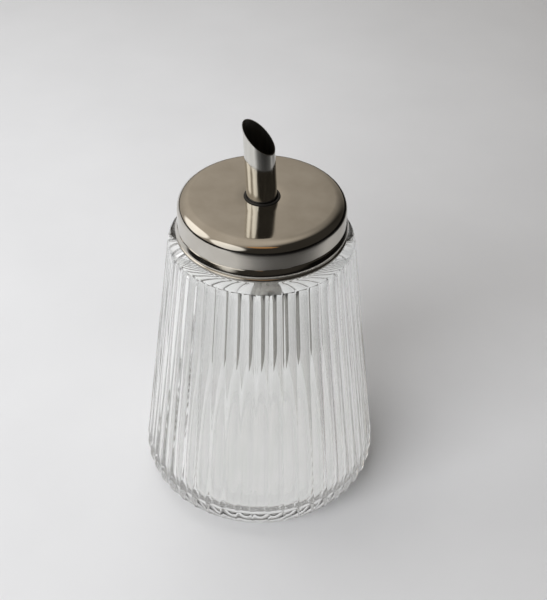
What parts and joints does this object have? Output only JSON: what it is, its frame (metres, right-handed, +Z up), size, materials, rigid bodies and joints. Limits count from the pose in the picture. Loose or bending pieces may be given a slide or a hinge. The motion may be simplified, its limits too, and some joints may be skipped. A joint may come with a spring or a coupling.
{
  "type": "condiment dispenser",
  "caption": "Tapering ribbed glass jar with a rounded foot, closed by a round metal screw cap that carries a slant-cut pouring tube reaching down into the jar.",
  "frame": {"origin": "centre of the jar's base, on the plane it stands on", "axes": "+Z up along the jar's axis; the picture looks from -Y, from above; the pouring tube leans 3 degrees towards -X at its top, and its slanted mouth is lowest towards +X and a little towards -Y"},
  "size_m": [0.0906, 0.0904, 0.1554],
  "materials": {
    "clear_glass": "clear pressed glass, glossy",
    "polished_steel": "polished stainless sheet",
    "soft_white_plastic": "matt, soft",
    "black_silicone": "matt black",
    "polished_steel_tube": "polished stainless tube"
  },
  "bodies": {
    "jar": {"glass_jar": "clear_glass"},
    "seal": {"rim_seal": "soft_white_plastic"},
    "grommet": {"tube_grommet": "black_silicone"},
    "cap": {"screw_cap": "polished_steel"},
    "spout": {"spout_tube": "polished_steel_tube"}
  },
  "joints": [
    {"name": "cap_lift", "type": "slide", "parent": "jar", "child": "seal", "axis": [0, 0, 1], "range_m": [0, 0.15]},
    {"name": "cap_rise", "type": "slide", "parent": "seal", "child": "grommet", "axis": [0, 0, 1], "range_m": [0, 0.005]},
    {"name": "cap_turn", "type": "hinge", "parent": "grommet", "child": "cap", "pos_m": [0, 0, 0.1267], "axis": [0, 0, 1], "range_deg": [0, 540]},
    {"name": "spout_swivel", "type": "hinge", "parent": "cap", "child": "spout", "pos_m": [0, 0, 0.1244], "axis": [-0.0523, 0, 0.9986], "continuous": true}
  ],
  "couplings": [
    {"joint": "cap_rise", "follows": "cap_turn", "m_per_rad": 0.00052521}
  ]
}
